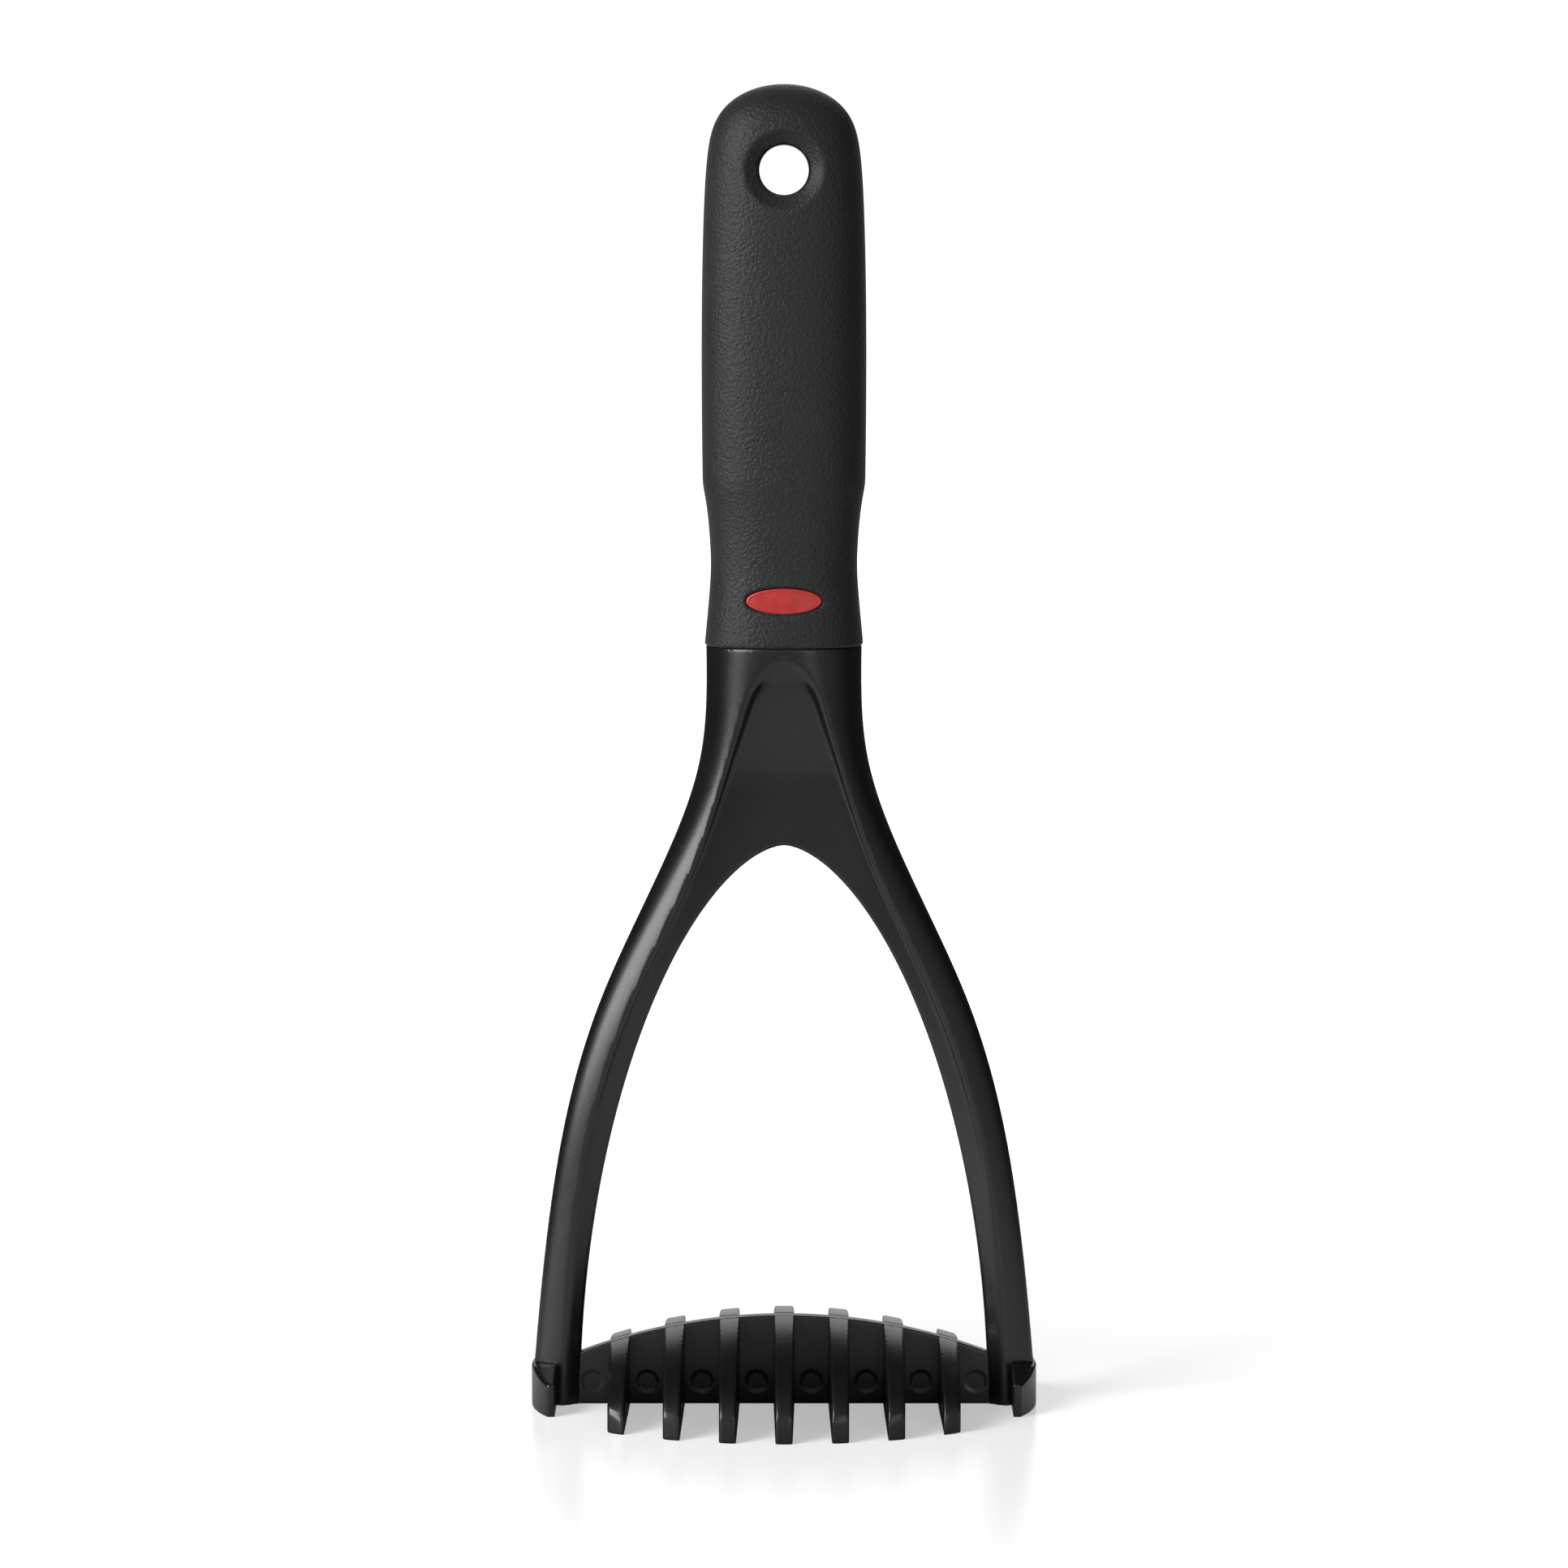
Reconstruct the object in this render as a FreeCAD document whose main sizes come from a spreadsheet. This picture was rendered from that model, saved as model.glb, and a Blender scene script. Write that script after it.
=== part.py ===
"""Potato masher: a nylon head with a forked neck, a rigid handle core, a soft grip and a badge.

The masher stands on its head. X runs across the head, Y from the front (-Y) to the back, Z up the handle.
The origin is on the floor under the middle of the head.
"""
import FreeCAD, Part
import math
import os

import Sketcher

Vector = FreeCAD.Vector
ORIGIN = Vector(0, 0, 0)
ACROSS = Vector(1, 0, 0)
BACKWARD = Vector(0, 1, 0)
UP = Vector(0, 0, 1)

# Driving dimensions in millimetres, with what each one measures.
DIMENSIONS = {
    # head
    "head_half_width": (52.7, "half the width of the head's oval plan"),
    "head_half_depth": (37.3, "half the depth of the head's oval plan"),
    "spine_thickness": (3.0, "plate across the head that carries the fins"),
    "spine_rise": (18.7, "height of the spine at its middle"),
    "spine_arch_radius": (120.0, "radius of the spine's arched top"),
    "spine_half_length": (42.4, "where the spine's top meets the legs"),
    "spine_foot_half_length": (43.3, "where the spine's foot meets the legs"),
    "mark_radius": (2.15, "round ejector marks on the spine"),
    "mark_depth": (0.15, "depth of an ejector mark"),
    "mark_height": (4.8, "height of an ejector mark's centre"),
    "fin_pitch": (11.43, "distance between neighbouring fins"),
    "fin_root_thickness": (4.4, "thickness of a fin at the spine"),
    "fin_tip_thickness": (3.5, "thickness of a fin at its tip"),
    "fin_ridge_height": (5.2, "height of the upright tip of the middle fins"),
    "fin_edge_radius": (0.5, "rounding along the top of a fin"),
    # shoes under the legs
    "shoe_inner_face": (47.6, "distance of the shoe's inner wall from the middle"),
    "shoe_half_depth": (13.6, "half the length of a shoe, front to back"),
    "shoe_rim_height": (6.8, "height of the shoe at its front and back ends"),
    "shoe_top_height": (8.8, "height of the shoe where the rail stands on it"),
    "shoe_edge_radius": (0.6, "rounding around the shoe's top"),
    # fork
    "web_half_thickness": (1.5, "half the thickness of the plate between the rails"),
    "flange_foot_half_thickness": (4.8, "half the thickness of the flange at the rail's foot"),
    "crotch_height": (117.5, "top of the opening between the legs"),
    "crotch_shoulder_height": (109.2, "height where the opening starts to close"),
    "crotch_shoulder_half_width": (12.7, "half the width of the opening there"),
    "opening_knee_half_width": (27.1, "half the width of the opening at the knee"),
    "opening_shin_half_width": (38.4, "half the width of the opening at the shin"),
    "ramp_foot_height": (126.0, "where the recess starts to rise out to the neck"),
    "ramp_middle_height": (142.0, "middle of the recess's ramp"),
    "rail_edge_radius": (0.6, "rounding along the rail's inner edge"),
    "neck_edge_radius": (0.4, "rounding around the top of the neck"),
    "tang_half_width": (8.0, "half the width of the tang inside the handle"),
    "tang_half_depth": (5.0, "half the depth of the tang inside the handle"),
    "tang_length": (52.0, "length of the tang above the neck"),
    "tang_clearance": (0.1, "space between the tang and its pocket"),
    # grip
    "grip_foot_height": (159.2, "lower lip of the grip"),
    "grip_top_height": (273.4, "top of the grip's dome"),
    "grip_half_width": (16.85, "half the width of the barrel"),
    "grip_depth_ratio": (0.735, "depth of the grip's oval as a share of its width"),
    "waist_height": (175.5, "narrowest place of the grip"),
    "waist_half_width": (15.05, "half the width at the waist"),
    "kink_height": (192.3, "edge where the barrel ends and the waist begins"),
    "core_inset": (3.3, "thickness of the soft skin over the core"),
    "core_depth_ratio": (0.68, "depth of the core's oval as a share of its width"),
    # hang hole
    "hole_height": (256.0, "height of the hang hole"),
    "hole_radius": (5.05, "radius of the hang hole in the core"),
    "hole_half_length": (8.0, "half the length of the core's eyelet"),
    "throat_radius": (5.4, "radius where the soft skin ends at the eyelet"),
    "countersink_radius": (8.1, "radius of the flared mouth at the surface"),
    # badge
    "badge_height": (168.8, "height of the badge's centre"),
    "badge_half_width": (7.75, "half the width of the oval badge"),
    "badge_half_height": (2.6, "half the height of the oval badge"),
    "badge_floor": (9.0, "distance of the badge's back face from the middle plane"),
    "badge_gap": (0.2, "narrow gap around the badge"),
}

# Stations up the fork: height, half width, distance of the rail's inner crease, half depth of the rail.
FORK_STATIONS = {
    "foot": (0.0, 52.86, 47.6, 5.3),
    "shin": (45.0, 48.17, 42.6, 5.9),
    "knee": (85.0, 38.12, 31.1, 6.9),
    "thigh": (115.0, 24.5, 17.6, 8.3),
    "hip": (135.0, 17.46, 10.9, 9.8),
    "collar": (147.0, 16.08, 7.1, 10.8),
    "seam": (159.0, 16.02, 2.0, 11.8),
}
STATION_MEASURES = ("height", "width", "crease", "depth")

# Down the grip's dome and barrel: drop below the top, and share of the barrel's half width.
BARREL_SHARES = (
    (0.0, 0.0),
    (2.1, 0.515),
    (7.3, 0.82),
    (15.9, 0.935),
    (30.4, 0.98),
    (58.0, 1.0),
    (81.1, 0.992),
)
# Up the grip's waist: height above its narrowest place, and how much wider its half width is there.
WAIST_WIDENINGS = (
    (-16.3, 1.28),
    (-6.7, 0.38),
    (0.0, 0.0),
    (5.3, 0.19),
    (12.6, 0.93),
    (16.8, 1.67),
)

FIN_COUNT = 7
FORK_STEPS = 15
BARREL_STEPS = 16
WAIST_STEPS = 8
# The dome's last section is this far below its top.
DOME_CAP = 0.02
# How far cutting tools reach below the floor.
UNDERCUT = 1.0
SIDES = {"front": -1, "back": 1}

doc = FreeCAD.newDocument("potato_masher")


def fill_sheet():
    """Put every driving dimension in the spreadsheet, one row each, under its alias."""
    table = doc.addObject("Spreadsheet::Sheet", "dims")
    entries = dict(DIMENSIONS)
    for station, values in FORK_STATIONS.items():
        for measure, value in zip(STATION_MEASURES, values):
            entries[f"{station}_{measure}"] = (value, f"{measure} of the fork at the {station}")
    for row, (alias, (value, note)) in enumerate(entries.items(), start=1):
        table.set(f"A{row}", alias)
        table.set(f"B{row}", str(value))
        table.setAlias(f"B{row}", alias)
        table.set(f"C{row}", note)
    doc.recompute()
    return table


dims = fill_sheet()


def size(alias):
    """Read one driving dimension."""
    return float(dims.get(alias))


# ---- helpers for bodies and sketches ----

def new_body(name):
    body = doc.addObject("PartDesign::Body", name)
    body.Label = name
    return body


def new_sketch(body, name, role):
    """Attach an empty sketch to one of the body's own origin planes."""
    sketch = body.newObject("Sketcher::SketchObject", name)
    plane = next(item for item in body.Origin.OriginFeatures if item.Role == role)
    sketch.AttachmentSupport = [(plane, "")]
    sketch.MapMode = "FlatFace"
    return sketch


def hold(sketch, kind, first, second, expression, name):
    """Bind the distance between two sketch points, each (geometry, vertex), to an expression."""
    value = sketch.evalExpression(expression)
    index = sketch.addConstraint(Sketcher.Constraint(kind, *first, *second, float(value)))
    sketch.renameConstraint(index, name)
    sketch.setExpression(f"Constraints.{name}", expression)


SKETCH_ORIGIN = (-1, 1)


def expression_point(sketch, across, up):
    """Point of a sketch from two expressions."""
    return Vector(float(sketch.evalExpression(across)), float(sketch.evalExpression(up)), 0)


def corner_outline(sketch, corners):
    """Draw straight edges through corners given as (across, up) expressions."""
    places = [expression_point(sketch, across, up) for across, up in corners]
    count = len(corners)
    for index in range(count):
        sketch.addGeometry(Part.LineSegment(places[index], places[(index + 1) % count]))
    for index in range(count):
        sketch.addConstraint(Sketcher.Constraint("Coincident", index, 2, (index + 1) % count, 1))
    for index, (across, up) in enumerate(corners):
        hold(sketch, "DistanceX", SKETCH_ORIGIN, (index, 1), across, f"across_{index}")
        hold(sketch, "DistanceY", SKETCH_ORIGIN, (index, 1), up, f"up_{index}")


def feature(label, shape):
    """Keep a shape that is built with Part's own functions as an object of the document."""
    item = doc.addObject("Part::Feature", label)
    item.Label = label
    item.Shape = shape
    item.Placement = FreeCAD.Placement()
    return item


def measure_curve(pairs):
    """Smooth curve through (place, measure) pairs: at the parameter place, its x is the measure."""
    curve = Part.BSplineCurve()
    places = [place for place, measure in pairs]
    points = [Vector(measure, 0, place) for place, measure in pairs]
    curve.interpolate(Points=points, Parameters=places)
    return curve


def spline_through(points):
    curve = Part.BSplineCurve()
    curve.interpolate(points)
    return curve.toShape()


def edge_names(shape, test):
    """Names of the shape's edges that pass a test."""
    return [f"Edge{number}" for number, edge in enumerate(shape.Edges, start=1) if test(edge)]


def fillet(body, base, test, radius_expression, name):
    """Round the chosen edges of a body's last feature."""
    doc.recompute()
    rounding = body.newObject("PartDesign::Fillet", name)
    rounding.Base = (base, edge_names(base.Shape, test))
    rounding.setExpression("Radius", radius_expression)
    return rounding


def cut_must_remove(base, cut):
    """Stop if a pocket or groove removed nothing."""
    doc.recompute()
    if cut.Shape.Volume >= base.Shape.Volume - 0.001:
        raise RuntimeError(f"{cut.Name} removes nothing")


# ---- head: spine, fins and shoes ----

def head_spine():
    """Upright plate across the head, with an arched top and round ejector marks on its front."""
    body = new_body("head_spine")
    sketch = new_sketch(body, "spine_outline", "XZ_Plane")
    radius = size("spine_arch_radius")
    half_length = size("spine_half_length")
    foot = size("spine_foot_half_length")
    arch_centre = size("spine_rise") - radius
    shoulder = arch_centre + math.sqrt(radius ** 2 - half_length ** 2)
    opening = math.acos(half_length / radius)
    circle = Part.Circle(Vector(0, arch_centre, 0), UP, radius)
    sketch.addGeometry(Part.ArcOfCircle(circle, opening, math.pi - opening))
    corners = [(-half_length, shoulder), (-foot, 0), (foot, 0), (half_length, shoulder)]
    for start, end in zip(corners, corners[1:]):
        sketch.addGeometry(Part.LineSegment(Vector(*start, 0), Vector(*end, 0)))
    for first, vertex, second, other in ((0, 2, 1, 1), (1, 2, 2, 1), (2, 2, 3, 1), (3, 2, 0, 1)):
        sketch.addConstraint(Sketcher.Constraint("Coincident", first, vertex, second, other))
    hold(sketch, "DistanceX", SKETCH_ORIGIN, (0, 3), "0", "arch_middle")
    hold(sketch, "DistanceY", SKETCH_ORIGIN, (0, 3), "dims.spine_rise - dims.spine_arch_radius", "arch_centre")
    radius_index = sketch.addConstraint(Sketcher.Constraint("Radius", 0, radius))
    sketch.renameConstraint(radius_index, "arch_radius")
    sketch.setExpression("Constraints.arch_radius", "dims.spine_arch_radius")
    hold(sketch, "DistanceX", SKETCH_ORIGIN, (1, 1), "-dims.spine_half_length", "left_shoulder")
    hold(sketch, "DistanceX", SKETCH_ORIGIN, (3, 2), "dims.spine_half_length", "right_shoulder")
    hold(sketch, "DistanceX", SKETCH_ORIGIN, (2, 1), "-dims.spine_foot_half_length", "left_foot")
    hold(sketch, "DistanceX", SKETCH_ORIGIN, (2, 2), "dims.spine_foot_half_length", "right_foot")
    hold(sketch, "DistanceY", SKETCH_ORIGIN, (2, 1), "0", "left_floor")
    hold(sketch, "DistanceY", SKETCH_ORIGIN, (2, 2), "0", "right_floor")
    plate = body.newObject("PartDesign::Pad", "spine_plate")
    plate.Profile = sketch
    plate.SideType = "Symmetric"
    plate.setExpression("Length", "dims.spine_thickness")
    doc.recompute()
    marks = new_sketch(body, "mark_circles", "XZ_Plane")
    marks.setExpression("AttachmentOffset.Base.z", "dims.spine_thickness / 2")
    doc.recompute()
    for number in range(FIN_COUNT + 1):
        offset = f"dims.fin_pitch * {number - FIN_COUNT / 2}"
        centre = Vector(float(marks.evalExpression(offset)), size("mark_height"), 0)
        marks.addGeometry(Part.Circle(centre, UP, size("mark_radius")))
        hold(marks, "DistanceX", SKETCH_ORIGIN, (number, 3), offset, f"mark_across_{number}")
        hold(marks, "DistanceY", SKETCH_ORIGIN, (number, 3), "dims.mark_height", f"mark_up_{number}")
        index = marks.addConstraint(Sketcher.Constraint("Radius", number, size("mark_radius")))
        marks.renameConstraint(index, f"mark_radius_{number}")
        marks.setExpression(f"Constraints.mark_radius_{number}", "dims.mark_radius")
    pressed = body.newObject("PartDesign::Pocket", "ejector_marks")
    pressed.Profile = marks
    pressed.setExpression("Length", "dims.mark_depth")
    cut_must_remove(plate, pressed)
    return body


def head_fin(side, number):
    """One tapered fin from the spine to the head's oval rim, with a crest that falls as an ellipse."""
    name = f"{side}_fin_{number}"
    sign = SIDES[side]
    body = new_body(name)
    middle = f"dims.fin_pitch * {number - (FIN_COUNT + 1) / 2}"
    rise = f"(dims.spine_rise - dims.spine_arch_radius + sqrt(dims.spine_arch_radius ^ 2 - ({middle}) ^ 2))"
    ridge = f"dims.fin_ridge_height * {rise} / dims.spine_rise"

    def rim(across):
        return f"{sign} * dims.head_half_depth * sqrt(1 - (({across}) / dims.head_half_width) ^ 2)"

    plan = new_sketch(body, f"{name}_plan", "XY_Plane")
    root = f"{sign} * dims.spine_thickness / 2"
    left_tip = f"{middle} - dims.fin_tip_thickness / 2"
    right_tip = f"{middle} + dims.fin_tip_thickness / 2"
    corner_outline(plan, [
        (f"{middle} - dims.fin_root_thickness / 2", root),
        (f"{middle} + dims.fin_root_thickness / 2", root),
        (right_tip, rim(right_tip)),
        (left_tip, rim(left_tip)),
    ])
    block = body.newObject("PartDesign::Pad", f"{name}_block")
    block.Profile = plan
    block.setExpression("Length", "dims.spine_rise")

    crest = new_sketch(body, f"{name}_crest", "YZ_Plane")
    crest.setExpression("AttachmentOffset.Base.z", middle)
    doc.recompute()
    reach = f"{rim(middle)} / sqrt(1 - (dims.fin_ridge_height / dims.spine_rise) ^ 2)"
    half_major = abs(float(crest.evalExpression(reach)))
    half_minor = float(crest.evalExpression(rise))
    ridge_turn = math.asin(size("fin_ridge_height") / size("spine_rise"))
    turns = (ridge_turn, math.pi / 2) if sign > 0 else (math.pi / 2, math.pi - ridge_turn)
    crest.addGeometry(Part.ArcOfEllipse(Part.Ellipse(ORIGIN, half_major, half_minor), *turns))
    ridge_end, top_end = (1, 2) if sign > 0 else (2, 1)
    beyond = f"2 * ({reach})"
    above = f"{rise} + dims.spine_rise"
    places = [
        (rim(middle), ridge),
        (beyond, ridge),
        (beyond, above),
        ("0", above),
        ("0", rise),
    ]
    points = [expression_point(crest, across, up) for across, up in places]
    for start, end in zip(points, points[1:]):
        crest.addGeometry(Part.LineSegment(start, end))
    crest.addConstraint(Sketcher.Constraint("Coincident", 0, 3, *SKETCH_ORIGIN))
    crest.addConstraint(Sketcher.Constraint("Coincident", 0, ridge_end, 1, 1))
    for line in (1, 2, 3):
        crest.addConstraint(Sketcher.Constraint("Coincident", line, 2, line + 1, 1))
    crest.addConstraint(Sketcher.Constraint("Coincident", 4, 2, 0, top_end))
    for line, (across, up) in enumerate(places[1:4], start=1):
        hold(crest, "DistanceX", SKETCH_ORIGIN, (line, 2), across, f"across_{line}")
        hold(crest, "DistanceY", SKETCH_ORIGIN, (line, 2), up, f"up_{line}")
    hold(crest, "DistanceX", SKETCH_ORIGIN, (1, 1), places[0][0], "ridge_across")
    hold(crest, "DistanceY", SKETCH_ORIGIN, (1, 1), places[0][1], "ridge_up")
    hold(crest, "DistanceX", SKETCH_ORIGIN, (4, 2), places[4][0], "top_across")
    hold(crest, "DistanceY", SKETCH_ORIGIN, (4, 2), places[4][1], "top_up")
    trimmed = body.newObject("PartDesign::Pocket", f"{name}_crest_cut")
    trimmed.Profile = crest
    trimmed.SideType = "Symmetric"
    trimmed.setExpression("Length", "4 * dims.fin_root_thickness")
    trimmed.UseCustomVector = True
    offset = float(crest.evalExpression(middle))
    trimmed.Direction = Vector(math.sqrt(size("spine_arch_radius") ** 2 - offset ** 2), 0, -offset)
    cut_must_remove(block, trimmed)

    root_depth = size("spine_thickness") / 2

    def on_crest(edge):
        reaches_up = edge.BoundBox.ZMax > size("shoe_top_height")
        return reaches_up and edge.BoundBox.YLength > root_depth and edge.BoundBox.ZLength > root_depth

    fillet(body, trimmed, on_crest, "dims.fin_edge_radius", f"{name}_rounding")
    return body


def end_shoe(name, sign):
    """Crescent foot under one leg: its outer wall follows the head's oval, its top slopes to both ends."""
    body = new_body(name)
    plan = new_sketch(body, f"{name}_plan", "XY_Plane")
    wall_radius = "dims.head_half_depth ^ 2 / dims.head_half_width"
    radius = float(plan.evalExpression(wall_radius))
    half_depth = size("shoe_half_depth")
    centre = sign * (size("head_half_width") - radius)
    half_turn = math.asin(half_depth / radius)
    outer_end = centre + sign * radius * math.cos(half_turn)
    inner = sign * size("shoe_inner_face")
    facing = 0 if sign > 0 else math.pi
    circle = Part.Circle(Vector(centre, 0, 0), UP, radius)
    plan.addGeometry(Part.ArcOfCircle(circle, facing - half_turn, facing + half_turn))
    start_side = -sign * half_depth
    points = [(outer_end, -start_side), (inner, -start_side), (inner, start_side), (outer_end, start_side)]
    for start, end in zip(points, points[1:]):
        plan.addGeometry(Part.LineSegment(Vector(*start, 0), Vector(*end, 0)))
    for first, vertex, second, other in ((0, 2, 1, 1), (1, 2, 2, 1), (2, 2, 3, 1), (3, 2, 0, 1)):
        plan.addConstraint(Sketcher.Constraint("Coincident", first, vertex, second, other))
    wall_centre = f"{sign} * (dims.head_half_width - {wall_radius})"
    hold(plan, "DistanceX", SKETCH_ORIGIN, (0, 3), wall_centre, "wall_centre")
    hold(plan, "DistanceY", SKETCH_ORIGIN, (0, 3), "0", "wall_middle")
    radius_index = plan.addConstraint(Sketcher.Constraint("Radius", 0, radius))
    plan.renameConstraint(radius_index, "wall_radius")
    plan.setExpression("Constraints.wall_radius", wall_radius)
    for vertex in (1, 2):
        way = 1 if (vertex == 1) == (-start_side > 0) else -1
        corner = (2, vertex)
        hold(plan, "DistanceX", SKETCH_ORIGIN, corner, f"{sign} * dims.shoe_inner_face", f"inner_{vertex}")
        hold(plan, "DistanceY", SKETCH_ORIGIN, corner, f"{way} * dims.shoe_half_depth", f"end_{vertex}")
    plan.addConstraint(Sketcher.Constraint("Horizontal", 1))
    plan.addConstraint(Sketcher.Constraint("Horizontal", 3))
    block = body.newObject("PartDesign::Pad", f"{name}_block")
    block.Profile = plan
    block.setExpression("Length", "dims.shoe_top_height")
    sloped = block
    for side, way in SIDES.items():
        slope = new_sketch(body, f"{name}_{side}_slope", "YZ_Plane")
        corner_outline(slope, [
            (f"{way} * dims.foot_depth", "dims.shoe_top_height"),
            (f"{way} * 2 * dims.shoe_half_depth", "dims.shoe_top_height"),
            (f"{way} * 2 * dims.shoe_half_depth", "dims.shoe_rim_height"),
            (f"{way} * dims.shoe_half_depth", "dims.shoe_rim_height"),
        ])
        slant = body.newObject("PartDesign::Pocket", f"{name}_{side}_slant")
        slant.Profile = slope
        slant.SideType = "Symmetric"
        slant.setExpression("Length", "4 * dims.head_half_width")
        cut_must_remove(sloped, slant)
        sloped = slant

    def outer_top(edge):
        box = edge.BoundBox
        level = box.ZMin > size("shoe_rim_height") - 0.01
        return level and abs(box.XMin + box.XMax) / 2 > size("shoe_inner_face") + size("shoe_edge_radius")

    fillet(body, sloped, outer_top, "dims.shoe_edge_radius", f"{name}_rounding")
    return body


# ---- fork ----

def height_curve(measure):
    """Smooth curve through one measure of the fork's stations, with the height as its parameter."""
    names = list(FORK_STATIONS)
    return measure_curve([(size(f"{name}_height"), size(f"{name}_{measure}")) for name in names])


def quarter_pair(centre, reach, half_depth, sign):
    """Half an ellipse, from front to back round the right side, or back to front round the left side."""
    right = Vector(reach, 0, 0)
    back = Vector(0, half_depth, 0)
    if reach > half_depth:
        ellipse = Part.Ellipse(centre + right, centre + back, centre)
    else:
        ellipse = Part.Ellipse(centre + back, centre - right, centre)
    start = ellipse.parameter(centre - back * sign)
    end = ellipse.parameter(centre + back * sign)
    return Part.ArcOfEllipse(ellipse, start, end).toShape()


def oval_section(height, half_width, half_depth, crest):
    """Level section of the fork's outside: a flat front and back between two half ellipses."""
    edges = []
    for sign in (1, -1):
        centre = Vector(sign * crest, 0, height)
        corner = centre + Vector(0, sign * half_depth, 0)
        edges.append(quarter_pair(centre, half_width - crest, half_depth, sign))
        edges.append(Part.makeLine(corner, corner - Vector(2 * sign * crest, 0, 0)))
    return Part.Wire(edges)


def fork_outside(width, crease, depth):
    """Solid outside of the neck and both legs, before the recesses and the opening are cut."""
    low = size("shoe_top_height")
    high = size("seam_height")
    sections = []
    for step in range(FORK_STEPS + 1):
        height = low + (high - low) * step / FORK_STEPS
        crest = crease.value(height).x + 2 * size("rail_edge_radius")
        sections.append(oval_section(height, width.value(height).x, depth.value(height).x, crest))
    return Part.makeLoft(sections, True, False)


def recess_outline(crease):
    """Upright outline of the recess between the rails, from below the floor to the top of the neck."""
    top = crease.value(size("seam_height"))
    foot = Vector(size("foot_crease"), 0, -UNDERCUT)
    flank = [crease.value(size(f"{station}_height")) for station in FORK_STATIONS]

    def mirrored(point):
        return Vector(-point.x, 0, point.z)

    return Part.Wire([
        Part.makeLine(foot, flank[0]),
        spline_through(flank),
        Part.makeLine(top, mirrored(top)),
        spline_through([mirrored(point) for point in reversed(flank)]),
        Part.makeLine(mirrored(flank[0]), mirrored(foot)),
        Part.makeLine(mirrored(foot), foot),
    ])


def recess_tool(crease, sign):
    """What is cut away between the rails on one face; its floor ramps out to the neck at the top."""
    high = size("seam_height")
    web = size("web_half_thickness")
    neck = size("seam_depth")
    column = Part.Face(recess_outline(crease)).extrude(BACKWARD * sign * 2 * neck)

    reach = size("head_half_width")
    outside = neck + reach
    ramp_foot = Vector(-reach, sign * web, size("ramp_foot_height"))
    ramp_middle = Vector(-reach, sign * (web + neck) / 2, size("ramp_middle_height"))
    ramp_top = Vector(-reach, sign * (neck + web), high)
    ramp = Part.BSplineCurve()
    ramp.interpolate([ramp_foot, ramp_middle, ramp_top], InitialTangent=UP, FinalTangent=UP + BACKWARD * sign)
    far_top = Vector(-reach, sign * outside, high)
    far_foot = Vector(-reach, sign * outside, -2 * UNDERCUT)
    floor_foot = Vector(-reach, sign * web, -2 * UNDERCUT)
    profile = Part.Wire([
        ramp.toShape(),
        Part.makeLine(ramp_top, far_top),
        Part.makeLine(far_top, far_foot),
        Part.makeLine(far_foot, floor_foot),
        Part.makeLine(floor_foot, ramp_foot),
    ])
    space = Part.Face(profile).extrude(ACROSS * 2 * reach)
    return column.common(space)


def opening_tool():
    """Column through the opening between the legs, down past the floor."""
    foot = size("spine_foot_half_length")
    ankle = size("spine_half_length")
    ankle_height = size("spine_rise") - size("spine_arch_radius")
    ankle_height += math.sqrt(size("spine_arch_radius") ** 2 - ankle ** 2)
    front = -size("head_half_depth")
    right = [
        (ankle, ankle_height),
        (size("opening_shin_half_width"), size("shin_height")),
        (size("opening_knee_half_width"), size("knee_height")),
        (size("crotch_shoulder_half_width"), size("crotch_shoulder_height")),
    ]
    rising = [Vector(across, front, height) for across, height in right]
    falling = [Vector(-point.x, front, point.z) for point in reversed(rising)]
    arch = spline_through(rising + [Vector(0, front, size("crotch_height"))] + falling)
    corners = [falling[-1], Vector(-foot, front, 0), Vector(-foot, front, -UNDERCUT)]
    corners += [Vector(-corner.x, front, corner.z) for corner in reversed(corners)]
    sides = [Part.makeLine(start, end) for start, end in zip(corners, corners[1:])]
    return Part.Face(Part.Wire([arch] + sides)).extrude(BACKWARD * -2 * front)


def flange_wedge(crease, sign):
    """Flange along one leg that grows from its thin inner edge to the rail, most of all at the foot."""
    web = size("web_half_thickness")
    foot_half = size("flange_foot_half_thickness")
    stations = [
        (0.0, size("spine_foot_half_length")),
        (size("shin_height"), size("opening_shin_half_width")),
        (size("knee_height"), size("opening_knee_half_width")),
        (size("crotch_shoulder_height"), size("crotch_shoulder_half_width")),
    ]
    sections = []
    for height, inner in stations:
        outer = crease.value(height).x + size("rail_edge_radius")
        thick = foot_half + (web - foot_half) * height / size("crotch_shoulder_height")
        corners = [(outer, -thick), (outer, thick), (inner, web), (inner, -web), (outer, -thick)]
        sections.append(Part.makePolygon([Vector(sign * x, y, height) for x, y in corners]))
    return Part.makeLoft(sections, True, False)


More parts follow.
